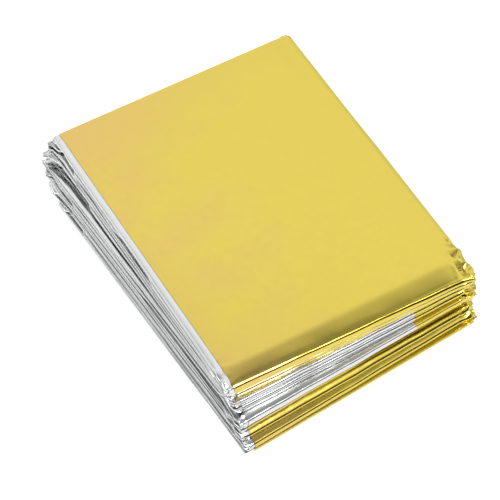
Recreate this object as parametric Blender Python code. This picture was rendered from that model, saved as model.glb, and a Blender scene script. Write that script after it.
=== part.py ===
"""Emergency foil blanket, folded to a flat packet and lying on a surface.

The blanket is one rectangular sheet of metallised film. It is pleated lengthwise into a narrow strip, and
the strip is laid back and forth on itself. The model follows the strip: one closed solid with a
back-and-forth section, whose thickness stands for the film's pleats with the air between them.

Units are metres. +X runs across the strip, +Y from the front turns to the back ones, +Z up. The packet
lies on z = 0.
"""

import math
from collections import namedtuple

import bmesh
import bpy
from mathutils import Vector

MM = 0.001

# The blanket's film, and how often it is pleated across and folded along
BLANKET_WIDTH = 1.60
PLEATS = 16.75
LAYERS = 17
LAYER_LENGTH = 119.2 * MM

# The packet
PACKET_HEIGHT = 25.2 * MM
STRIP_WIDTH = BLANKET_WIDTH / PLEATS
STRIP_THICKNESS = 1.0 * MM
AIR = PACKET_HEIGHT - LAYERS * STRIP_THICKNESS

# The lines that the strip turns over on, from the top layer's free end down to the bottom layer's. Each end
# of a line is given by how far it has slipped forwards (towards -Y) and sideways (towards +X), in mm.
Line = namedtuple("Line", "side forward_left forward_right sideways_left sideways_right")
LINES = (
    Line("back", -0.5, -0.3, 0.0, 0.5),
    Line("front", 1.3, 2.3, 0.0, 1.1),
    Line("back", 0.4, 0.6, -0.6, 0.2),
    Line("front", 0.9, 2.4, 0.7, 1.3),
    Line("back", 0.8, 1.0, -1.4, -0.5),
    Line("front", 3.4, 1.2, 1.2, 1.8),
    Line("back", 0.7, 0.6, -3.7, -1.6),
    Line("front", 4.1, 0.9, 1.6, 2.1),
    Line("back", 1.2, 1.4, -3.9, -1.6),
    Line("front", 8.0, 1.6, 1.5, 2.2),
    Line("back", 1.7, 0.8, -3.8, -2.0),
    Line("front", 6.7, -0.9, 1.3, 2.0),
    Line("back", 2.9, 1.3, -3.6, -2.0),
    Line("front", 7.1, 2.0, 1.6, 2.1),
    Line("back", 4.8, 2.6, -3.1, -1.8),
    Line("front", 11.8, 3.0, 1.8, 2.2),
    Line("back", 9.4, 4.0, -3.0, -2.0),
    Line("front", 12.2, 4.3, 1.4, 1.8),
)

# Where the pile gapes: the corner, the layer above the gap counted from the top one, 0, and the gap there
Gape = namedtuple("Gape", "side end under_layer gap_mm")
GAPES = (
    Gape("back", "left", 1, 1.1),
    Gape("back", "left", 4, 1.8),
    Gape("back", "left", 9, 0.8),
    Gape("back", "right", 6, 0.9),
    Gape("back", "right", 13, 0.8),
    Gape("front", "left", 7, 0.7),
    Gape("front", "right", 5, 0.8),
    Gape("front", "right", 9, 1.9),
)

# The gapes at the back fade quickly towards the front
GAPE_POWER = 1.8

# The pile slopes down towards its front turns and, a little, towards its sides
Press = namedtuple("Press", "share reach")
FRONT_PRESS = Press(0.0342, 6.5 * MM)
FRONT_PRESS_Y = -LAYER_LENGTH / 2 - 1.4 * MM
SIDE_PRESS = Press(0.010, 8.0 * MM)
PRESS_BEND = 0.26

# The strip's two edges are bundles of creases: how far in from an edge, and the share of the thickness there
Rounding = namedtuple("Rounding", "inset thickness")
EDGE = (Rounding(0.0, 0.36), Rounding(0.3 * MM, 0.80), Rounding(1.0 * MM, 1.0))

# How finely the faces follow the strip: shares of a layer from its back end, parts of a turn and of the width
STATIONS = (0.0, 0.08, 0.26, 0.50, 0.74, 0.90, 0.955, 1.0)
TURN_PARTS = 6
WIDTH_PARTS = 6

GOLD = (0.83, 0.66, 0.18, 1.0)
ROUGHNESS = 0.2


def clear_scene():
    for obj in list(bpy.data.objects):
        bpy.data.objects.remove(obj, do_unlink=True)


def between(a, b, share):
    return a + (b - a) * share


def pressed_share(press, distance):
    """The share of its height that the pile loses at a distance from one of its sides."""
    near = min(1.0, max(0.0, 1 - distance / press.reach))
    return press.share * between(near, near ** 2, PRESS_BEND)


def corner_heights(side, end):
    """The height of each layer's middle at one corner of the pile, from the top layer down."""
    gaps = {gape.under_layer: gape.gap_mm * MM for gape in GAPES if (gape.side, gape.end) == (side, end)}
    plain_gap = (AIR - sum(gaps.values())) / (LAYERS - 1 - len(gaps))
    heights = [PACKET_HEIGHT - STRIP_THICKNESS / 2]
    for layer in range(LAYERS - 1):
        heights.append(heights[-1] - STRIP_THICKNESS - gaps.get(layer, plain_gap))
    return heights


HEIGHTS = {(side, end): corner_heights(side, end) for side in ("back", "front") for end in ("left", "right")}


def layer_height(layer, across, backness, x, y):
    """The height of a layer's middle at a point of the plan."""
    share = backness ** GAPE_POWER
    left = between(HEIGHTS["front", "left"][layer], HEIGHTS["back", "left"][layer], share)
    right = between(HEIGHTS["front", "right"][layer], HEIGHTS["back", "right"][layer], share)
    lowest = STRIP_THICKNESS / 2
    pressed = pressed_share(FRONT_PRESS, y - FRONT_PRESS_Y)
    pressed += pressed_share(SIDE_PRESS, STRIP_WIDTH / 2 - abs(x))
    return lowest + (between(left, right, across) - lowest) * (1 - pressed)


def line_point(line, across):
    """A point of the plan on one of the strip's lines, at a share of its width from the left."""
    y = LAYER_LENGTH / 2 if line.side == "back" else -LAYER_LENGTH / 2
    left = Vector((line.sideways_left * MM - STRIP_WIDTH / 2, y - line.forward_left * MM, 0))
    right = Vector((line.sideways_right * MM + STRIP_WIDTH / 2, y - line.forward_right * MM, 0))
    return left.lerp(right, across)


def layer_points(layer, across):
    """Points along one layer's middle, the way that the strip runs."""
    first, last = LINES[layer], LINES[layer + 1]
    runs_forwards = first.side == "back"
    back = line_point(first if runs_forwards else last, across)
    front = line_point(last if runs_forwards else first, across)
    points = []
    for share in STATIONS:
        point = back.lerp(front, share)
        point.z = layer_height(layer, across, 1 - share, point.x, point.y)
        points.append(point)
    return points if runs_forwards else points[::-1]


def turn_points(upper, lower, side):
    """Points on the half circle that the strip turns through between two layers."""
    outwards = Vector((0, 1 if side == "back" else -1, 0))
    centre = (upper + lower) / 2
    radius = (upper.z - lower.z) / 2
    points = []
    for part in range(1, TURN_PARTS):
        angle = math.pi * part / TURN_PARTS
        rise = Vector((0, 0, radius * math.cos(angle)))
        points.append(centre + outwards * radius * math.sin(angle) + rise)
    return points


def strip_points(across):
    """The strip's middle at a share of its width, from the top layer's free end to the bottom layer's."""
    points = layer_points(0, across)
    for layer in range(1, LAYERS):
        next_points = layer_points(layer, across)
        points += turn_points(points[-1], next_points[0], LINES[layer].side)
        points += next_points
    return points


def strip_faces(across, thickness):
    """The strip's upper and lower face at a share of its width, as seen where it first runs forwards."""
    points = strip_points(across)
    upper, lower = [], []
    for before, point, after in zip(points[:1] + points, points, points[1:] + points[-1:]):
        run = after - before
        normal = Vector((0, run.z, -run.y)).normalized()
        upper.append(point + normal * thickness / 2)
        lower.append(point - normal * thickness / 2)
    return upper, lower


def width_stations():
    """Pairs of a share of the strip's width and the strip's thickness there, from left to right."""
    edge = [(step.inset / STRIP_WIDTH, step.thickness * STRIP_THICKNESS) for step in EDGE]
    start, end = edge[-1][0], 1 - edge[-1][0]
    inner = [(between(start, end, part / WIDTH_PARTS), STRIP_THICKNESS) for part in range(1, WIDTH_PARTS)]
    return edge + inner + [(1 - share, thickness) for share, thickness in reversed(edge)]


def strip_mesh():
    """A closed skin over the strip: its two faces, its two long edges and its two ends."""
    mesh = bmesh.new()
    upper, lower = [], []
    for across, thickness in width_stations():
        upper_points, lower_points = strip_faces(across, thickness)
        upper.append([mesh.verts.new(point) for point in upper_points])
        lower.append([mesh.verts.new(point) for point in lower_points])
    last = len(upper[0]) - 1
    for left, right in zip(range(len(upper) - 1), range(1, len(upper))):
        for i in range(last):
            mesh.faces.new((upper[left][i], upper[left][i + 1], upper[right][i + 1], upper[right][i]))
            mesh.faces.new((lower[right][i], lower[right][i + 1], lower[left][i + 1], lower[left][i]))
        for i, turned in ((0, False), (last, True)):
            face = (upper[left][i], upper[right][i], lower[right][i], lower[left][i])
            mesh.faces.new(face[::-1] if turned else face)
    for column, turned in ((0, False), (-1, True)):
        for i in range(last):
            face = (lower[column][i], lower[column][i + 1], upper[column][i + 1], upper[column][i])
            mesh.faces.new(face[::-1] if turned else face)
    bmesh.ops.recalc_face_normals(mesh, faces=mesh.faces)
    return mesh


def centred(mesh):
    """Moves a mesh so that its box is centred over the origin and stands on z = 0."""
    lowest = Vector([min(vert.co[axis] for vert in mesh.verts) for axis in range(3)])
    highest = Vector([max(vert.co[axis] for vert in mesh.verts) for axis in range(3)])
    middle = (lowest + highest) / 2
    bmesh.ops.translate(mesh, verts=mesh.verts, vec=(-middle.x, -middle.y, -lowest.z))
    return mesh


def foil_material():
    material = bpy.data.materials.new("foil")
    material.use_nodes = True
    shader = material.node_tree.nodes["Principled BSDF"]
    shader.inputs["Base Color"].default_value = GOLD
    shader.inputs["Metallic"].default_value = 1.0
    shader.inputs["Roughness"].default_value = ROUGHNESS
    return material


def make_blanket():
    mesh = centred(strip_mesh())
    data = bpy.data.meshes.new("blanket")
    mesh.to_mesh(data)
    mesh.free()
    data.materials.append(foil_material())
    data.shade_smooth()
    data.set_sharp_from_angle(angle=math.radians(40))
    blanket = bpy.data.objects.new("blanket", data)
    bpy.context.scene.collection.objects.link(blanket)
    return blanket


clear_scene()
make_blanket()
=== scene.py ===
"""Looks of the emergency foil blanket: one sheet of metallised film, pleated and folded to a packet.

The film is pleated to a strip of plies, and the strip is laid back and forth in layers. The sheet is one mesh
of rows and columns. A row crosses the film, and the rows follow the strip from the top layer's free end down
through every layer and turn. A column runs along the film, and the columns go back and forth over the pleats.
Lengths are in metres, except where a name ends in _mm or a comment says so.
"""

import math
from collections import namedtuple

import bpy
import numpy as np
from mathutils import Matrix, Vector


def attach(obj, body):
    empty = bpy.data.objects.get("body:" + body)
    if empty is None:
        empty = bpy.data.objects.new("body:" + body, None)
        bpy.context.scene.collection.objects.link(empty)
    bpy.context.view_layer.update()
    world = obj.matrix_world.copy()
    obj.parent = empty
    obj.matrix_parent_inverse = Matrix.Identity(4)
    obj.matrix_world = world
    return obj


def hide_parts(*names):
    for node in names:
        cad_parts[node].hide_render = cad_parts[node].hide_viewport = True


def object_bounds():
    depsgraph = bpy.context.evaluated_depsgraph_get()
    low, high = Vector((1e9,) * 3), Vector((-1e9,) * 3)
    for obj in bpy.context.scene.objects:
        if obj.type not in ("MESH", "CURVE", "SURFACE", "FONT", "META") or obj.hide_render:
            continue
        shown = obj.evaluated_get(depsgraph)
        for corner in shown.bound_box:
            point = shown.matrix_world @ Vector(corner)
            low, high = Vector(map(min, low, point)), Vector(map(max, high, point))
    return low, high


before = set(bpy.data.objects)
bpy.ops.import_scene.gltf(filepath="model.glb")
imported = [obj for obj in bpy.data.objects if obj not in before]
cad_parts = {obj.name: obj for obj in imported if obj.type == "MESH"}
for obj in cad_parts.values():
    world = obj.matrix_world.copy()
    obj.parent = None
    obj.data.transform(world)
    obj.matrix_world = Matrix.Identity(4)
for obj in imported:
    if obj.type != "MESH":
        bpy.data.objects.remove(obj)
CAD_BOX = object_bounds()

MM = 0.001

# ---------------------------------------------------------------------------------------------------------
# The packet, with the solid's own sizes
# ---------------------------------------------------------------------------------------------------------

FILM_WIDTH = 1.60
PLEATS = 16.75
LAYERS = 17
LAYER_LENGTH = 119.2 * MM
PACKET_HEIGHT = 25.2 * MM
STRIP_WIDTH = FILM_WIDTH / PLEATS
STRIP_THICKNESS = 1.0 * MM
AIR = PACKET_HEIGHT - LAYERS * STRIP_THICKNESS

# The lines that the strip turns over on, from the top layer's free end down to the bottom layer's, each with
# its slip forwards and sideways at its left and right end, in mm
Line = namedtuple("Line", "side forward_left forward_right sideways_left sideways_right")
LINES = (
    Line("back", -0.5, -0.3, 0.0, 0.5),
    Line("front", 1.3, 2.3, 0.0, 1.1),
    Line("back", 0.4, 0.6, -0.6, 0.2),
    Line("front", 0.9, 2.4, 0.7, 1.3),
    Line("back", 0.8, 1.0, -1.4, -0.5),
    Line("front", 3.4, 1.2, 1.2, 1.8),
    Line("back", 0.7, 0.6, -3.7, -1.6),
    Line("front", 4.1, 0.9, 1.6, 2.1),
    Line("back", 1.2, 1.4, -3.9, -1.6),
    Line("front", 8.0, 1.6, 1.5, 2.2),
    Line("back", 1.7, 0.8, -3.8, -2.0),
    Line("front", 6.7, -0.9, 1.3, 2.0),
    Line("back", 2.9, 1.3, -3.6, -2.0),
    Line("front", 7.1, 2.0, 1.6, 2.1),
    Line("back", 4.8, 2.6, -3.1, -1.8),
    Line("front", 11.8, 3.0, 1.8, 2.2),
    Line("back", 9.4, 4.0, -3.0, -2.0),
    Line("front", 12.2, 4.3, 1.4, 1.8),
)

# Where the pile gapes: the corner, the layer above the gap counted from the top one, 0, and the gap there
Gape = namedtuple("Gape", "side end under_layer gap_mm")
GAPES = (
    Gape("back", "left", 1, 1.1),
    Gape("back", "left", 4, 1.8),
    Gape("back", "left", 9, 0.8),
    Gape("back", "right", 6, 0.9),
    Gape("back", "right", 13, 0.8),
    Gape("front", "left", 7, 0.7),
    Gape("front", "right", 5, 0.8),
    Gape("front", "right", 9, 1.9),
)

# The gapes at the back fade quickly towards the front
GAPE_POWER = 1.8

# The pile slopes down towards its front turns and, a little, towards its sides
Press = namedtuple("Press", "share reach")
FRONT_PRESS = Press(0.0342, 6.5 * MM)
FRONT_PRESS_Y = -LAYER_LENGTH / 2 - 1.4 * MM
SIDE_PRESS = Press(0.010, 8.0 * MM)
PRESS_BEND = 0.26

# Where the lines' own frame lies in the solid's. The solid's box starts at its line that lies furthest left,
# and at the front turn that reaches furthest past the layers' plain length.
FRONT_REACH = 12.93 * MM
SHIFT = Vector((
    CAD_BOX[0].x + STRIP_WIDTH / 2 - min(line.sideways_left for line in LINES) * MM,
    CAD_BOX[0].y + LAYER_LENGTH / 2 + FRONT_REACH,
    CAD_BOX[0].z,
))

# ---------------------------------------------------------------------------------------------------------
# What the film does besides: droops, shapes of the front turns, and flares
# ---------------------------------------------------------------------------------------------------------

# Each layer that ends in a front turn droops towards it: how far at its left and right end, and over what
# length
Droop = namedtuple("Droop", "layer left_mm right_mm reach_mm")
DROOPS = (
    Droop(0, 0.30, 0.09, 2.2),
    *(Droop(layer, 0.38, 0.38, 5.0) for layer in range(2, 14, 2)),
    Droop(14, 0.36, 0.50, 3.4),
)

# The front turns' shapes at their left and right ends. Squareness 1 is a bevel, 2 a half circle, and more is
# squarer. A turn's film sags over what lies below it, and it may bulge forwards, or back where that is
# negative. The last shape is the bottom layer's free end.
Shape = namedtuple(
    "Shape", "line square_left square_right sag_left_mm sag_right_mm bulge_left_mm bulge_right_mm",
)
SHAPES = (
    Shape(1, 2.2, 1.6, 1.8, 0.0, 0.0, 0.0),
    Shape(3, 6.0, 1.3, 1.2, 0.4, 0.0, -0.5),
    Shape(5, 2.6, 1.6, 0.0, 0.0, 0.0, 0.0),
    Shape(7, 3.0, 1.5, 0.2, 0.0, 0.0, 0.0),
    Shape(9, 2.6, 4.0, 0.8, 0.4, 0.0, 0.0),
    Shape(11, 2.2, 1.5, 0.3, 0.2, 1.1, 0.0),
    Shape(13, 1.7, 1.5, 0.3, 0.2, 2.0, 0.0),
    Shape(15, 2.2, 1.4, 0.3, 0.1, 0.0, 0.0),
    Shape(17, 6.0, 6.0, 0.0, 0.0, 0.0, 0.0),
)

# A turn's lower half is at least as square as its foot, which on the left drops to the layer below
Foot = namedtuple("Foot", "square drop_mm")
FOOT_LEFT, FOOT_RIGHT = Foot(8.0, 0.45), Foot(1.3, 0.0)

# Where the pile's back left corners poke out sideways: the line, how far, and over what length
Flare = namedtuple("Flare", "line left_mm reach_mm")
FLARES = (
    Flare(2, -1.6, 7.0),
    Flare(4, -3.0, 9.0),
    Flare(6, -0.8, 9.0),
    Flare(10, -0.7, 14.0),
    Flare(14, -0.9, 12.0),
)

# ---------------------------------------------------------------------------------------------------------
# The film's pleats
# ---------------------------------------------------------------------------------------------------------

PLIES = math.ceil(PLEATS)
LAST_PLY_SHARE = PLEATS - (PLIES - 1)
FIRST_PLY_INSET = 3.5 * MM
# How thick the bundle of plies is at the strip's edges and between them, and how far in the edges reach
BUNDLE = 1.20 * MM
INNER_BUNDLE = 0.62 * MM
EDGE_REACH = 7.0 * MM
# The top ply lies clear of the others between the edges, so that its own dents don't meet them
SLACK = 0.32 * MM

# The rows' places along the top layer and along the others, as shares of the layer from its back end
TOP_STATIONS = np.concatenate((
    (0.0, 0.006, 0.014),
    np.linspace(0.03, 0.85, 22),
    np.linspace(0.863, 0.979, 15),
    (0.983, 0.987, 0.991, 0.994, 0.997, 1.0),
))
LAYER_STATIONS = np.array((
    0.0, 0.006, 0.016, 0.035, 0.07, 0.14, 0.24, 0.36, 0.48, 0.60, 0.72, 0.82,
    0.89, 0.93, 0.955, 0.975, 0.99, 1.0,
))
FRONT_TURN_PARTS = 11
BACK_TURN_PARTS = 7
# Past the free end the first ply bends down in a few rows, which start a little apart to have a direction
CAP_PARTS = 5
CAP_REACH = 0.9 * MM
CAP_STEP = 0.02 * MM
CAP_END_HEIGHT = 0.06 * MM
LEAST_HEIGHT = 0.02 * MM
SIDE_TURN_PARTS = {"left": 5, "right": 4}
FIRST_SIDE_TURN_PARTS = 7
SEED = 11


def between(a, b, share):
    return a + (b - a) * share


def soft_step(share):
    share = np.clip(share, 0.0, 1.0)
    return share * share * (3 - 2 * share)


def corner_heights(side, end):
    """The height of each layer's middle at one corner of the pile, from the top layer down."""
    gaps = {gape.under_layer: gape.gap_mm * MM for gape in GAPES if (gape.side, gape.end) == (side, end)}
    plain_gap = (AIR - sum(gaps.values())) / (LAYERS - 1 - len(gaps))
    heights = [PACKET_HEIGHT - STRIP_THICKNESS / 2]
    for layer in range(LAYERS - 1):
        heights.append(heights[-1] - STRIP_THICKNESS - gaps.get(layer, plain_gap))
    return np.array(heights)


HEIGHTS = {(side, end): corner_heights(side, end) for side in ("back", "front") for end in ("left", "right")}


def make_rows():
    """Arrays with an entry for each row: the layers above and below it, its two lines, share, turn and cap.

    The rows run on past the bottom layer's free end, where only the first ply bends down over the others.
    """
    rows = []
    for layer in range(LAYERS):
        runs_forwards = LINES[layer].side == "back"
        back, front = (layer, layer + 1) if runs_forwards else (layer + 1, layer)
        stations = TOP_STATIONS if layer == 0 else LAYER_STATIONS
        for share in stations if runs_forwards else stations[::-1]:
            rows.append((layer, layer, back, front, share, 0.0, 0.0))
        if layer + 1 < LAYERS:
            parts = FRONT_TURN_PARTS if runs_forwards else BACK_TURN_PARTS
            for part in range(1, parts):
                rows.append((layer, layer + 1, layer + 1, layer + 1, float(runs_forwards), part / parts, 0.0))
    last = LAYERS - 1
    for part in range(1, CAP_PARTS + 1):
        rows.append((last, last, last, last + 1, 1.0, 0.0, part / CAP_PARTS))
    upper, lower, back, front, share, turn, cap = np.array(rows).T
    return upper.astype(int), lower.astype(int), back.astype(int), front.astype(int), share, turn, cap


UPPER, LOWER, BACK, FRONT, SHARE, TURN, CAP = make_rows()
LINE_TABLE = np.array([line[1:] for line in LINES]) * MM
DROOP_TABLE = np.full((LAYERS, 3), (0.0, 0.0, 1.0)) * MM
for droop in DROOPS:
    DROOP_TABLE[droop.layer] = np.array(droop[1:]) * MM
SHAPE_TABLE = np.full((len(LINES), 6), (2.0, 2.0, 0.0, 0.0, 0.0, 0.0))
for shape in SHAPES:
    SHAPE_TABLE[shape.line] = shape[1:]


def line_point(index, across):
    """x and y on the lines of some rows, at a share of the strip's width."""
    forward_left, forward_right, sideways_left, sideways_right = LINE_TABLE[index].T
    y = np.where(index % 2 == 0, LAYER_LENGTH / 2, -LAYER_LENGTH / 2)
    x_left = sideways_left - STRIP_WIDTH / 2
    x_right = sideways_right + STRIP_WIDTH / 2
    return between(x_left, x_right, across), between(y - forward_left, y - forward_right, across)


def flare_shift(across):
    """How far the flares move each row sideways. They fade towards the front and towards the right."""
    shift = np.zeros(len(SHARE))
    for flare in FLARES:
        near = np.clip(1 - SHARE * LAYER_LENGTH / (flare.reach_mm * MM), 0.0, 1.0) ** 2
        shift += (BACK == flare.line) * near * flare.left_mm * MM
    return shift * (1 - across) ** 3


def pressed_share(press, distance):
    """The share of its height that the pile loses at a distance from one of its sides."""
    near = np.clip(1 - distance / press.reach, 0.0, 1.0)
    return press.share * between(near, near ** 2, PRESS_BEND)


def layer_height(layer, across, backness, x, y):
    """The height of each row's layer at a point of the plan: the strip's middle there."""
    share = backness ** GAPE_POWER
    left = between(HEIGHTS["front", "left"][layer], HEIGHTS["back", "left"][layer], share)
    right = between(HEIGHTS["front", "right"][layer], HEIGHTS["back", "right"][layer], share)
    lowest = STRIP_THICKNESS / 2
    pressed = pressed_share(FRONT_PRESS, y - FRONT_PRESS_Y)
    pressed += pressed_share(SIDE_PRESS, STRIP_WIDTH / 2 - np.abs(x))
    droop_left, droop_right, droop_reach = DROOP_TABLE[layer].T
    near_front = np.clip(1 - backness * LAYER_LENGTH / droop_reach, 0.0, 1.0) ** 2
    droop = between(droop_left, droop_right, across) * near_front
    return lowest + (between(left, right, across) - lowest) * (1 - pressed) - droop


def strip_frame(across):
    """The strip's middle and the way out from it, row by row, at a share of its width for each row."""
    x_back, y_back = line_point(BACK, across)
    x_front, y_front = line_point(FRONT, across)
    x, y = between(x_back, x_front, SHARE) + flare_shift(across), between(y_back, y_front, SHARE)
    high = layer_height(UPPER, across, 1 - SHARE, x, y)
    low = layer_height(LOWER, across, 1 - SHARE, x, y)
    outwards = np.where(BACK % 2 == 0, 1.0, -1.0)
    radius = (high - low) / 2
    square_left, square_right, sag_left, sag_right, bulge_left, bulge_right = SHAPE_TABLE[FRONT].T
    is_front = (outwards < 0) & (TURN > 0)
    squareness = np.where(is_front, between(square_left, square_right, across), 2.0)
    in_foot = is_front & (TURN > 0.5)
    foot_square = between(FOOT_LEFT.square, FOOT_RIGHT.square, across)
    squareness = np.where(in_foot, np.maximum(squareness, foot_square), squareness)
    foot_drop = between(FOOT_LEFT.drop_mm, FOOT_RIGHT.drop_mm, across) * MM * in_foot
    foot_drop = foot_drop * np.sin(2 * math.pi * TURN)
    power = 2 / squareness
    bulge = between(bulge_left, bulge_right, across) * MM * is_front
    reach = (radius + bulge) * np.sin(math.pi * TURN) ** power
    rise = radius * np.sign(0.5 - TURN) * np.abs(np.cos(math.pi * TURN)) ** power
    # A front turn carries on with the slope of the layer that runs into it
    step = 0.2 * MM
    behind = layer_height(UPPER, across, np.minimum(1 - SHARE + step / LAYER_LENGTH, 1.0), x, y + step)
    slope = np.where(outwards < 0, (behind - high) / step, 0.0)
    y = y + outwards * reach - CAP * CAP_STEP
    sag = between(sag_left, sag_right, across) * MM * is_front * np.sin(math.pi * TURN) ** 2
    z = (high + low) / 2 + rise - slope * reach - sag + foot_drop
    middle = np.stack((x, y, z), axis=1)
    run = np.gradient(middle, axis=0)
    normal = np.stack((np.zeros(len(x)), run[:, 2], -run[:, 1]), axis=1)
    normal[CAP > 0] = (0.0, 0.0, 1.0)
    normal /= np.linalg.norm(normal, axis=1, keepdims=True)
    # A square turn keeps its corners on the outside too
    size = np.abs(normal[:, 1]) ** squareness + np.abs(normal[:, 2]) ** squareness
    return middle, normal / size[:, None] ** (1 / squareness[:, None])


# ---------------------------------------------------------------------------------------------------------
# How the creases lie along the strip's two edges
# ---------------------------------------------------------------------------------------------------------

SIDE_TURNS = (PLIES - 1) // 2
FAT, MIDDLING, THIN = 1.0, 0.45, 0.10
# The gap between two creases, on the scale of the creases' own thicknesses
CREASE_GAP = 0.09
# Ranges for the random draws: how far in a layer's thin creases lie, how far in all its creases lie, and how
# much a crease's thickness and inset vary from place to place along the layer
THIN_INSETS_MM = (0.9, 2.4)
LAYER_INSETS_MM = (0.0, 0.9)
THICKNESS_FACTORS = (0.6, 1.4)
INSET_FACTORS = (0.8, 1.2)
PLACE_INSETS_MM = (0.0, 0.2)
PLACES = 7

# Pockets in the left side: the layer, the middle's distance from the back, and how long and deep they are
Pocket = namedtuple("Pocket", "layer from_back_mm length_mm depth_mm")
POCKETS = (
    Pocket(1, 9.0, 9.0, 4.2),
    Pocket(2, 12.0, 8.0, 3.0),
    Pocket(4, 11.0, 24.0, 4.0),
    Pocket(1, 26.0, 6.0, 3.2),
    Pocket(2, 25.0, 5.0, 3.0),
    Pocket(1, 53.0, 13.0, 2.6),
    Pocket(7, 4.0, 9.0, 3.5),
    Pocket(9, 7.0, 9.0, 4.0),
    Pocket(12, 9.0, 8.0, 4.0),
    Pocket(15, 11.0, 12.0, 3.5),
    Pocket(9, 88.0, 46.0, 1.2),
    Pocket(13, 70.0, 50.0, 1.0),
    Pocket(3, 116.0, 7.0, 3.0),
    Pocket(8, 114.0, 9.0, 3.0),
)
POCKET_STEEPNESS = 2.2


def row_blend(values):
    """Spreads values given at places along each layer, from its back to its front, over the rows, softly."""
    along = SHARE * (PLACES - 1)
    first = np.minimum(along.astype(int), PLACES - 2)
    bend = soft_step(along - first)[:, None]

    def of_layer(layer):
        return between(values[layer, first], values[layer, first + 1], bend)

    return between(of_layer(UPPER), of_layer(LOWER), TURN[:, None])


def edge_creases(rng, first_ply):
    """Each ply's offset from the strip's middle, and its crease's inset, along one edge of the strip.

    first_ply is the first of the pair of plies that the edge's first crease joins. A few creases of each
    layer are fat and stand proud, and the rest are tight and lie further in.
    """
    weights = np.zeros((LAYERS, PLACES, SIDE_TURNS))
    insets = np.zeros((LAYERS, PLACES, SIDE_TURNS))
    for layer in range(LAYERS):
        order = rng.permutation(SIDE_TURNS)
        size = np.full(SIDE_TURNS, THIN)
        size[order[0]] = FAT
        size[order[1]] = MIDDLING
        layer_inset = rng.uniform(*LAYER_INSETS_MM)
        depths = (1 - size) * rng.uniform(*THIN_INSETS_MM, SIDE_TURNS)
        for place in range(PLACES):
            weights[layer, place] = size * rng.uniform(*THICKNESS_FACTORS, SIDE_TURNS)
            insets[layer, place] = depths * rng.uniform(*INSET_FACTORS, SIDE_TURNS) + layer_inset
            insets[layer, place] += rng.uniform(*PLACE_INSETS_MM)
    gaps = np.full((LAYERS, PLACES, PLIES - 1), CREASE_GAP)
    gaps[:, :, first_ply::2] = weights
    gaps *= BUNDLE / gaps.sum(axis=2, keepdims=True)
    offsets = BUNDLE / 2 - np.concatenate((np.zeros((LAYERS, PLACES, 1)), np.cumsum(gaps, axis=2)), axis=2)
    return row_blend(offsets), row_blend(insets) * MM


def pocket_insets():
    """How much further in the left edge lies, row by row, because of the pockets."""
    from_back = SHARE * LAYER_LENGTH
    inset = np.zeros(len(SHARE))
    for pocket in POCKETS:
        near = 1 - np.abs(from_back - pocket.from_back_mm * MM) / (pocket.length_mm * MM / 2)
        flat = (UPPER == pocket.layer) & (LOWER == pocket.layer)
        inset += flat * soft_step(near * POCKET_STEEPNESS) * pocket.depth_mm * MM
    return inset[:, None]


def inner_offsets():
    """Each ply's offset from the strip's middle, away from the edges."""
    top = STRIP_THICKNESS / 2
    rest = np.linspace(top - SLACK, top - SLACK - INNER_BUNDLE, PLIES - 1)
    return np.concatenate(((top,), rest))


random = np.random.default_rng(SEED)
LEFT_OFFSETS, LEFT_INSETS = edge_creases(random, 1)
RIGHT_OFFSETS, RIGHT_INSETS = edge_creases(random, 0)
LEFT_INSETS = LEFT_INSETS + pocket_insets()
INNER_OFFSETS = inner_offsets()


def ply_ends(ply):
    """Where a ply starts and stops across the strip, row by row, from the strip's left edge."""
    left = LEFT_INSETS[:, (ply - 1) // 2] if ply > 0 else np.full(len(SHARE), FIRST_PLY_INSET)
    if ply == PLIES - 1:
        right = np.full(len(SHARE), LAST_PLY_SHARE * STRIP_WIDTH)
    else:
        right = STRIP_WIDTH - RIGHT_INSETS[:, ply // 2]
    return left, right


def ply_offset(ply, x):
    """A ply's offset from the strip's middle at a distance from the strip's left edge, row by row."""
    left = 1 - soft_step(x / EDGE_REACH)
    right = 1 - soft_step((STRIP_WIDTH - x) / EDGE_REACH)
    inner = INNER_OFFSETS[ply] * (1 - left - right)
    return inner + LEFT_OFFSETS[:, ply] * left + RIGHT_OFFSETS[:, ply] * right


def ply_stations(ply):
    """Distances in from a ply's left end, and in from its right end, for its columns from left to right."""
    if ply == 0:
        # Close together where the middle front turns change from silver to gold
        near_turned_edge = (65.8, 66.3, 66.7, 67.1, 67.5, 68.5, 71.0)
        left = np.concatenate(((0.0, 0.6, 1.8), np.linspace(4.5, 64.0, 17), near_turned_edge))
        right = np.concatenate(((17.0, 13.5), np.linspace(11.0, 1.0, 11), (0.4, 0.0)))
    elif ply == PLIES - 1:
        left = np.array((0.0, 0.8, 2.5, 6.0, 30.0))
        right = np.array((30.0, 6.0, 1.5, 0.0))
    else:
        left = np.array((0.0, 1.2, 5.0))
        right = np.array((5.0, 0.0))
    return left * MM, right * MM


def surface_point(x, offset, covering=0.0):
    """Points at an offset from the strip's middle. Where covering is 1 they bend down over its free end."""
    middle, normal = strip_frame(x / STRIP_WIDTH)
    points = middle + normal * offset[:, None]
    angle = CAP * math.pi / 2
    power = 2 / SHAPES[-1].square_left
    points[:, 1] -= covering * CAP_REACH * np.sin(angle) ** power
    drop = points[:, 2] - CAP_END_HEIGHT
    points[:, 2] -= covering * drop * (1 - np.maximum(np.cos(angle), 0.0) ** power)
    return points


Column = namedtuple("Column", "points ply side share")


def make_columns():
    """The film's columns, each with its points, its ply, and where it lies across the strip."""
    columns = []
    for ply in range(PLIES):
        left, right = ply_ends(ply)
        from_left, from_right = ply_stations(ply)
        places = [left + inset for inset in from_left] + [right - inset for inset in from_right]
        places = places if ply % 2 == 0 else places[::-1]
        covering = 1.0 if ply == 0 else 0.0
        for x in places:
            points = surface_point(x, ply_offset(ply, x), covering)
            columns.append(Column(points, ply, "flat", x / STRIP_WIDTH))
        if ply + 1 < PLIES:
            columns += side_turn(ply, "right" if ply % 2 == 0 else "left")
    return columns


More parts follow.
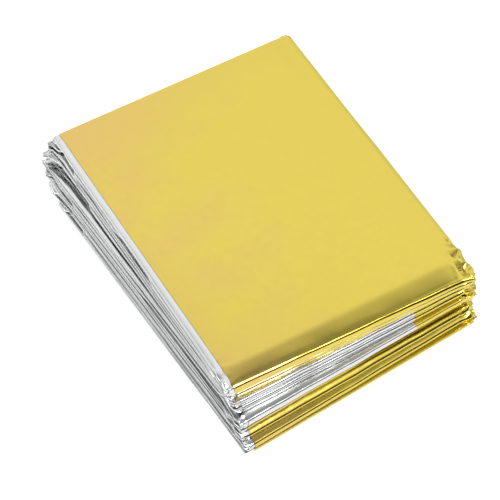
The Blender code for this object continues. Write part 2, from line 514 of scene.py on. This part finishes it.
def side_turn(ply, side):
    """The columns of the crease that joins a ply to the next."""
    x = ply_ends(ply)[1] if side == "right" else ply_ends(ply)[0]
    outwards = 1.0 if side == "right" else -1.0
    parts = FIRST_SIDE_TURN_PARTS if ply == 0 else SIDE_TURN_PARTS[side]
    high, low = ply_offset(ply, x), ply_offset(ply + 1, x)
    radius = (high - low) / 2
    columns = []
    for part in range(1, parts):
        angle = math.pi * part / parts
        covering = (1 + math.cos(angle)) / 2 if ply == 0 else 0.0
        points = surface_point(x, (high + low) / 2 + radius * math.cos(angle), covering)
        points[:, 0] += outwards * radius * math.sin(angle)
        columns.append(Column(points, ply, side, x / STRIP_WIDTH))
    return columns


# ---------------------------------------------------------------------------------------------------------
# Crumples, which move all the plies in a place together
# ---------------------------------------------------------------------------------------------------------

# Each fills a box about a middle point, with the size of its folds and how far they push the film
Crumple = namedtuple("Crumple", "x_mm y_mm reach_x_mm reach_y_mm fold_mm push_mm seed")
CRUMPLES = (
    Crumple(50.0, -58.0, 7.5, 15.0, 4.0, 1.15, 3),
    Crumple(49.0, -62.0, 9.0, 9.0, 2.2, 0.34, 4),
    Crumple(-48.5, -62.0, 6.0, 14.0, 3.0, 0.75, 15),
    Crumple(-51.0, 57.0, 8.0, 15.0, 3.4, 0.60, 6),
    Crumple(49.0, 58.0, 6.0, 8.0, 4.0, 0.25, 7),
    Crumple(0.0, -64.0, 60.0, 9.0, 16.0, 0.16, 8),
    Crumple(-51.0, 0.0, 6.0, 80.0, 12.0, 0.22, 9),
    Crumple(-4.0, -65.0, 2.2, 10.0, 1.6, 0.14, 10),
)
WAVES = 7
CRUMPLE_STEEPNESS = 1.5
# Crumples fade out below this height, so that the film stays above the floor
CALM_HEIGHT = 3 * MM
# Ranges for the random draws: a fold's length against its crumple's fold size, and how much it leans
FOLD_FACTORS = (0.8, 1.6)
LEANS = (-0.4, 0.4)


def fold_wave(phase):
    """A wave with straight flanks, from -1 to 1."""
    return np.arcsin(np.sin(phase)) * 2 / math.pi


def crumple(points):
    """Pushes points (in the packet's own frame) about in the crumpled places."""
    pushed = points.copy()
    above_floor = np.clip(points[:, 2] / CALM_HEIGHT, 0.0, 1.0)
    for place in CRUMPLES:
        rng = np.random.default_rng(place.seed)
        near_x = 1 - np.abs(points[:, 0] - place.x_mm * MM) / (place.reach_x_mm * MM)
        near_y = 1 - np.abs(points[:, 1] - place.y_mm * MM) / (place.reach_y_mm * MM)
        weight = soft_step(near_x * CRUMPLE_STEEPNESS) * soft_step(near_y * CRUMPLE_STEEPNESS) * above_floor
        for _ in range(WAVES):
            heading = rng.uniform(0, 2 * math.pi)
            length = place.fold_mm * MM * rng.uniform(*FOLD_FACTORS)
            wave = np.array((math.cos(heading), math.sin(heading), rng.uniform(*LEANS)))
            wave = wave * 2 * math.pi / length
            push = rng.normal(0.0, 1.0, 3)
            push *= place.push_mm * MM / WAVES ** 0.5 / np.linalg.norm(push)
            pushed += (weight * fold_wave(points @ wave + rng.uniform(0, 2 * math.pi)))[:, None] * push
    return pushed


# ---------------------------------------------------------------------------------------------------------
# The sheet's mesh
# ---------------------------------------------------------------------------------------------------------

# From the first of these layers up to the second, and on the turns under them, the outermost ply shows the
# film's silver side, as far as the last pleat reaches
TURNED_LAYERS = (4, 9)
TURNED_SHARE = 0.741


def shows_gold(column, next_column):
    """Whether each face between two columns shows its gold side, row by row."""
    if "left" in (column.side, next_column.side):
        return np.zeros(len(SHARE), bool)
    if "right" in (column.side, next_column.side):
        return np.ones(len(SHARE), bool)
    across = (column.share + next_column.share) / 2
    if column.ply == 0:
        turned = (UPPER >= TURNED_LAYERS[0]) & (UPPER < TURNED_LAYERS[1]) & (across < TURNED_SHARE)
        return ~turned
    if column.ply == PLIES - 1:
        return np.zeros(len(SHARE), bool)
    return across > (LAST_PLY_SHARE if column.ply == PLIES - 2 else 0.5)


def make_sheet():
    """The whole sheet as one mesh, gold on one side and silver on the other, face by face."""
    columns = make_columns()
    rows, count = len(SHARE), len(columns)
    points = np.stack([column.points for column in columns], axis=1).reshape(-1, 3)
    points = crumple(points) + np.array(SHIFT)
    points[:, 2] = np.maximum(points[:, 2], LEAST_HEIGHT)
    row, column = np.meshgrid(np.arange(rows - 1), np.arange(count - 1), indexing="ij")
    first = (row * count + column).ravel()
    faces = np.stack((first, first + count, first + count + 1, first + 1), axis=1)
    gold = np.stack([shows_gold(a, b) for a, b in zip(columns[:-1], columns[1:])], axis=1)[:-1].ravel()
    mesh = bpy.data.meshes.new("foil_sheet")
    mesh.from_pydata(points.tolist(), [], faces.tolist())
    for look in FILM_SIDES:
        mesh.materials.append(film_material(look))
    mesh.polygons.foreach_set("material_index", np.where(gold, 0, 1).astype(np.int32))
    mesh.shade_smooth()
    mesh.update()
    sheet = bpy.data.objects.new("foil_sheet", mesh)
    bpy.context.scene.collection.objects.link(sheet)
    return sheet


# ---------------------------------------------------------------------------------------------------------
# Materials
# ---------------------------------------------------------------------------------------------------------

# The film's two sides: colour, the darker, redder painted shade at the back left, and the least and most
# roughness
Look = namedtuple("Look", "name colour shade roughness")
FILM_SIDES = (
    Look("film_gold", (0.642, 0.508, 0.068), (0.642, 0.425, 0.132), (0.10, 0.16)),
    Look("film_silver", (0.640, 0.650, 0.642), (0.640, 0.648, 0.650), (0.10, 0.16)),
)

COAT_WEIGHT, COAT_ROUGHNESS = 0.65, 0.06

# The painted shade fades out from the back left: over what stretches across and along, from the packet's own
# middle, and how much the way across alone takes off it
SHADE_LEFT, SHADE_RIGHT = -65 * MM, 35 * MM
SHADE_BACK, SHADE_FRONT = 75 * MM, 20 * MM
ACROSS_SHARE = 0.75

# Streaks and dents in the film: size along x, y and z, and height
Grain = namedtuple("Grain", "size_mm height_mm")
FRONT_STREAKS = Grain((200.0, 2.4, 2.4), 0.05)
SIDE_STREAKS = Grain((0.8, 80.0, 0.8), 0.06)
DENTS = Grain((22.0, 17.0, 22.0), 0.03)
CRINKLES = Grain((2.2, 2.2, 2.2), 0.0015)
# Noise lies mostly in this range
NOISE_RANGE = (0.3, 0.7)

# Where the streaks start and are full, inwards from the layers' plain front end and from the strip's edges
FRONT_STREAKS_FROM, FRONT_STREAKS_FULL = 5 * MM, -0.5 * MM
SIDE_STREAKS_FROM, SIDE_STREAKS_FULL = 3.5 * MM, 0.5 * MM


def add_node(tree, kind, **inputs):
    """Adds a shader node and sets its inputs: to values, or to the outputs of other nodes."""
    node = tree.nodes.new(kind)
    for name, value in inputs.items():
        socket = node.inputs[name.replace("_", " ")]
        if isinstance(value, bpy.types.NodeSocket):
            tree.links.new(value, socket)
        else:
            socket.default_value = value
    return node


def ramp_value(tree, value, low, high):
    """0 up to low, 1 from high on, softly between."""
    node = add_node(tree, "ShaderNodeMapRange", Value=value, From_Min=low, From_Max=high)
    node.interpolation_type = "SMOOTHSTEP"
    return node.outputs["Result"]


def calculate(tree, operation, a, b):
    node = tree.nodes.new("ShaderNodeMath")
    node.operation = operation
    for socket, value in zip(node.inputs, (a, b)):
        if isinstance(value, bpy.types.NodeSocket):
            tree.links.new(value, socket)
        else:
            socket.default_value = value
    return node.outputs["Value"]


def product(tree, a, b):
    return calculate(tree, "MULTIPLY", a, b)


def total(tree, a, b):
    return calculate(tree, "ADD", a, b)


def grain_noise(tree, position, grain, detail=1.0):
    """Noise stretched to the sizes of a grain, from 0 to 1."""
    scale = tree.nodes.new("ShaderNodeMapping")
    scale.inputs["Scale"].default_value = [1 / (size * MM) for size in grain.size_mm]
    tree.links.new(position, scale.inputs["Vector"])
    noise = add_node(tree, "ShaderNodeTexNoise", Vector=scale.outputs["Vector"], Scale=1.0, Detail=detail)
    return noise.outputs["Fac"]


def film_material(look):
    """The look of one side of the film."""
    material = bpy.data.materials.new(look.name)
    material.use_nodes = True
    tree = material.node_tree
    shader = tree.nodes["Principled BSDF"]
    position = tree.nodes.new("ShaderNodeTexCoord").outputs["Object"]
    parts = add_node(tree, "ShaderNodeSeparateXYZ", Vector=position)
    x, y = parts.outputs["X"], parts.outputs["Y"]

    # Colour: painted shade towards the back left, with faint blotches
    rightness = ramp_value(tree, x, SHIFT.x + SHADE_LEFT, SHIFT.x + SHADE_RIGHT)
    frontness = ramp_value(tree, y, SHIFT.y + SHADE_BACK, SHIFT.y + SHADE_FRONT)
    blotches = grain_noise(tree, position, DENTS)
    by_place = total(tree, product(tree, rightness, ACROSS_SHARE), product(tree, frontness, blotches))
    place = calculate(tree, "MINIMUM", by_place, 1.0)
    colour = tree.nodes.new("ShaderNodeMix")
    colour.data_type = "RGBA"
    tree.links.new(place, colour.inputs[0])
    # The first colour is the painted shade, and the second is the film's own colour
    colour.inputs[6].default_value = (*look.shade, 1.0)
    colour.inputs[7].default_value = (*look.colour, 1.0)
    tree.links.new(colour.outputs[2], shader.inputs["Base Color"])

    roughness = add_node(
        tree, "ShaderNodeMapRange", Value=grain_noise(tree, position, CRINKLES),
        From_Min=NOISE_RANGE[0], From_Max=NOISE_RANGE[1], To_Min=look.roughness[0], To_Max=look.roughness[1],
    )
    tree.links.new(roughness.outputs["Result"], shader.inputs["Roughness"])
    shader.inputs["Metallic"].default_value = 1.0
    shader.inputs["Coat Weight"].default_value = COAT_WEIGHT
    shader.inputs["Coat Roughness"].default_value = COAT_ROUGHNESS

    # Relief: dents and crinkles all over, and streaks that run along the turns and the creases
    front = SHIFT.y - LAYER_LENGTH / 2
    near_front = ramp_value(tree, y, front + FRONT_STREAKS_FROM, front + FRONT_STREAKS_FULL)
    side = add_node(tree, "ShaderNodeMath", Value=x)
    side.operation = "ABSOLUTE"
    near_side = ramp_value(
        tree, side.outputs["Value"], STRIP_WIDTH / 2 - SIDE_STREAKS_FROM, STRIP_WIDTH / 2 - SIDE_STREAKS_FULL,
    )
    normal = None
    reliefs = ((DENTS, 1.0), (CRINKLES, 1.0), (FRONT_STREAKS, near_front), (SIDE_STREAKS, near_side))
    for grain, mask in reliefs:
        height = product(tree, grain_noise(tree, position, grain), mask)
        bump = add_node(tree, "ShaderNodeBump", Height=height, Distance=grain.height_mm * MM)
        if normal is not None:
            tree.links.new(normal, bump.inputs["Normal"])
        normal = bump.outputs["Normal"]
    tree.links.new(normal, shader.inputs["Normal"])
    return material


# ---------------------------------------------------------------------------------------------------------
# Studio
# ---------------------------------------------------------------------------------------------------------

AZIMUTH, ELEVATION = math.radians(-30.11), math.radians(53.10)
CAMERA_DISTANCE = 0.9685
CAMERA_TARGET = Vector((-3.2, -0.9, 1.2)) * MM
SENSOR_MM, LENS_MM = 36.0, 201.6

# The floor is a white light table: grey, with some light of its own
FLOOR_HALF = 3.0
FLOOR_GREY, FLOOR_ROUGHNESS, FLOOR_GLOW = 0.55, 0.9, 0.5


def make_camera():
    data = bpy.data.cameras.new("camera")
    data.sensor_width = SENSOR_MM
    data.lens = LENS_MM
    camera = bpy.data.objects.new("camera", data)
    back = Vector((
        math.sin(AZIMUTH) * math.cos(ELEVATION),
        -math.cos(AZIMUTH) * math.cos(ELEVATION),
        math.sin(ELEVATION),
    ))
    target = CAMERA_TARGET + Vector((SHIFT.x, SHIFT.y, 0))
    camera.location = target + back * CAMERA_DISTANCE
    camera.rotation_euler = back.to_track_quat("Z", "Y").to_euler()
    bpy.context.scene.collection.objects.link(camera)
    bpy.context.scene.camera = camera


def make_floor():
    mesh = bpy.data.meshes.new("floor")
    corners = [(x * FLOOR_HALF, y * FLOOR_HALF, 0) for x, y in ((-1, -1), (1, -1), (1, 1), (-1, 1))]
    mesh.from_pydata(corners, [], [(0, 1, 2, 3)])
    material = bpy.data.materials.new("floor")
    material.use_nodes = True
    shader = material.node_tree.nodes["Principled BSDF"]
    shader.inputs["Base Color"].default_value = (FLOOR_GREY, FLOOR_GREY, FLOOR_GREY, 1)
    shader.inputs["Roughness"].default_value = FLOOR_ROUGHNESS
    shader.inputs["Emission Color"].default_value = (1, 1, 1, 1)
    shader.inputs["Emission Strength"].default_value = FLOOR_GLOW
    mesh.materials.append(material)
    floor = bpy.data.objects.new("floor", mesh)
    bpy.context.scene.collection.objects.link(floor)


# The room's brightness by height, from the horizon (0) to straight up (1)
ROOM = (
    (0.0, 0.50), (0.20, 0.55), (0.35, 0.65), (0.50, 0.84), (0.65, 1.10), (0.80, 1.25), (0.83, 1.15),
    (0.86, 0.99), (0.885, 0.83), (0.905, 0.67), (0.925, 0.47), (0.95, 0.36), (1.0, 0.36),
)

# Oval patches of the room: a direction, half sizes across and along, the share of them over which the patch
# fades, and its brightness. A dark patch takes away a share of the room's own brightness instead. The first
# lamp and the first dark patch show in the front turns, and the others mostly in the creases on the left.
Patch = namedtuple("Patch", "towards across_degrees along_degrees fade brightness")
LAMPS = (
    Patch((0.157, -0.465, 0.87), 10.0, 19.0, 0.30, 11.0),
    Patch((-0.45, 0.50, 0.74), 9.0, 15.0, 0.40, 1.0),
    Patch((-0.75, -0.15, 0.64), 28.0, 28.0, 0.30, 2.7),
    Patch((0.10, 0.30, 0.95), 12.0, 12.0, 0.50, 0.30),
)
DARK_PATCHES = (
    Patch((0.25, -0.93, 0.25), 25.0, 38.0, 0.40, 0.90),
    Patch((-0.85, 0.50, 0.15), 24.0, 24.0, 0.40, 0.90),
    Patch((-0.90, -0.40, 0.10), 22.0, 18.0, 0.40, 0.90),
    Patch((-0.50, -0.82, 0.30), 30.0, 24.0, 0.30, 0.95),
)


def patch_mask(tree, direction, patch):
    """1 in an oval about a direction of the room, and 0 away from it."""
    towards = Vector(patch.towards).normalized()
    across = (Vector((1, 0, 0)) - towards * towards.x).normalized()
    along = towards.cross(across)
    squares = []
    for axis, degrees in ((across, patch.across_degrees), (along, patch.along_degrees)):
        part = tree.nodes.new("ShaderNodeVectorMath")
        part.operation = "DOT_PRODUCT"
        tree.links.new(direction, part.inputs[0])
        part.inputs[1].default_value = axis / math.sin(math.radians(degrees))
        squares.append(product(tree, part.outputs["Value"], part.outputs["Value"]))
    oval = ramp_value(tree, total(tree, *squares), 1.0, (1 - patch.fade) ** 2)
    # The oval also marks the opposite side of the room, which this leaves out
    facing = tree.nodes.new("ShaderNodeVectorMath")
    facing.operation = "DOT_PRODUCT"
    tree.links.new(direction, facing.inputs[0])
    facing.inputs[1].default_value = towards
    return product(tree, oval, ramp_value(tree, facing.outputs["Value"], 0.0, 0.1))


def make_world():
    world = bpy.data.worlds.new("studio")
    world.use_nodes = True
    bpy.context.scene.world = world
    tree = world.node_tree
    direction = tree.nodes.new("ShaderNodeTexCoord").outputs["Generated"]
    height = add_node(tree, "ShaderNodeSeparateXYZ", Vector=direction).outputs["Z"]
    ramp = add_node(tree, "ShaderNodeValToRGB", Fac=height)
    brightest = max(brightness for _, brightness in ROOM)
    for place, _ in ROOM[1:-1]:
        ramp.color_ramp.elements.new(place)
    for element, (place, brightness) in zip(ramp.color_ramp.elements, ROOM):
        share = brightness / brightest
        element.position = place
        element.color = (share, share, share, 1.0)
    light = product(tree, ramp.outputs["Color"], brightest)
    for patch in DARK_PATCHES:
        darkened = product(tree, patch_mask(tree, direction, patch), -patch.brightness)
        light = product(tree, light, total(tree, darkened, 1.0))
    for patch in LAMPS:
        light = total(tree, light, product(tree, patch_mask(tree, direction, patch), patch.brightness))
    tree.links.new(light, tree.nodes["Background"].inputs["Strength"])
    tree.nodes["Background"].inputs["Color"].default_value = (1.0, 1.0, 1.0, 1.0)


bpy.context.scene.view_settings.view_transform = "Standard"

sheet = make_sheet()
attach(sheet, "root")
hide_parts("blanket")
make_camera()
make_floor()
make_world()
